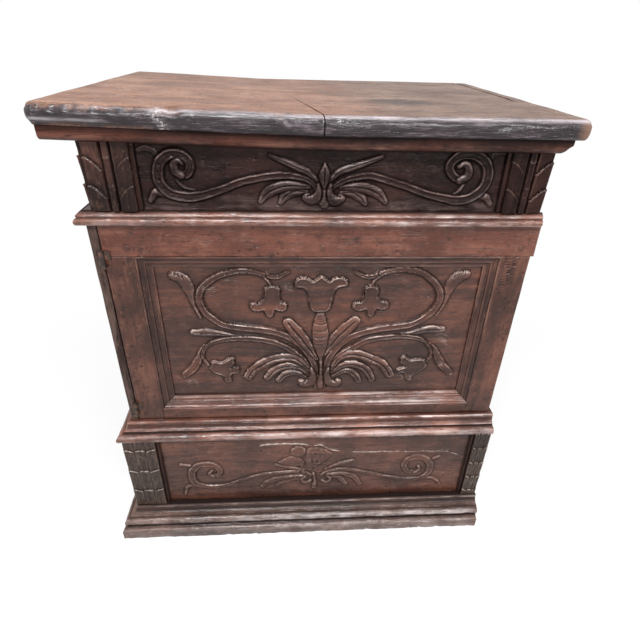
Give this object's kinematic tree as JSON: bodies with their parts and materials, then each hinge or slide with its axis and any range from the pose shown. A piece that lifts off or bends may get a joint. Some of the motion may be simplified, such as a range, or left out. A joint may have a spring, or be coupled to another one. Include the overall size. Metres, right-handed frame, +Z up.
{
  "type": "cassone",
  "caption": "Small carved walnut chest with a lidded well above a cupboard that has one hinged panelled door.",
  "frame": {"origin": "centre of the bounding box's footprint, on the floor", "axes": "+Z up, +Y from the carved front to the back, +X to the right seen from the front"},
  "size_m": [0.744, 0.5593, 0.817],
  "materials": {
    "walnut_dark": "old waxed walnut, dark red-brown, worn on the arrises",
    "walnut_top": "old waxed walnut, rubbed and scratched",
    "walnut_raw": "unfinished aged walnut, inside and back",
    "iron": "wrought iron, dark with rust"
  },
  "bodies": {
    "case": {"back_plank_low": "walnut_raw", "back_plank_middle": "walnut_raw", "back_plank_top": "walnut_raw", "base_block_left": "walnut_dark", "base_block_right": "walnut_dark", "base_block_side": "walnut_dark", "base_fillets": "walnut_dark", "base_front_board": "walnut_dark", "base_panel_left": "walnut_dark", "base_panel_right": "walnut_dark", "cap_moulding_front": "walnut_dark", "cap_moulding_left": "walnut_dark", "cupboard_floor": "walnut_raw", "cupboard_shelf": "walnut_raw", "shelf_battens": "walnut_raw", "flank_panel_left": "walnut_dark", "floor_cleats": "walnut_raw", "frieze_block_left": "walnut_dark", "frieze_block_right": "walnut_dark", "frieze_block_side": "walnut_dark", "frieze_board": "walnut_dark", "frieze_fillets": "walnut_dark", "glue_blocks": "walnut_raw", "plinth_moulding_front": "walnut_dark", "plinth_moulding_left": "walnut_dark", "side_board_left": "walnut_dark", "side_board_right": "walnut_dark", "waist_moulding_front": "walnut_dark", "waist_moulding_left": "walnut_dark", "well_floor": "walnut_raw", "well_floor_cleats": "walnut_raw", "door_hinge_case_eyes": "iron", "door_hinge_pins": "iron", "lid_hinge_case_straps": "iron", "lid_hinge_pins": "iron"},
    "door": {"door_foot_rail": "walnut_dark", "door_top_rail": "walnut_dark", "door_stile_left": "walnut_dark", "door_stile_right": "walnut_dark", "door_panel": "walnut_dark", "door_moulding_foot": "walnut_dark", "door_moulding_left": "walnut_dark", "door_moulding_right": "walnut_dark", "door_moulding_top": "walnut_dark", "door_pegs": "walnut_dark", "door_nails": "iron", "door_hinge_door_eyes": "iron"},
    "lid": {"lid_board_left": "walnut_top", "lid_board_right": "walnut_top", "lid_end_strip": "walnut_top", "lid_strip_front": "walnut_dark", "lid_strip_left": "walnut_dark", "lid_batten_left": "walnut_raw", "lid_batten_right": "walnut_raw", "lid_hinge_lid_straps": "iron"}
  },
  "joints": [
    {"name": "door_swing", "type": "hinge", "parent": "case", "child": "door", "pos_m": [-0.309, -0.23505, 0.452], "axis": [0, 0, -1], "range_deg": [0, 120]},
    {"name": "lid_lift", "type": "hinge", "parent": "case", "child": "lid", "pos_m": [0.0165, 0.27465, 0.78085], "axis": [-1, 0, 0], "range_deg": [0, 100]}
  ]
}
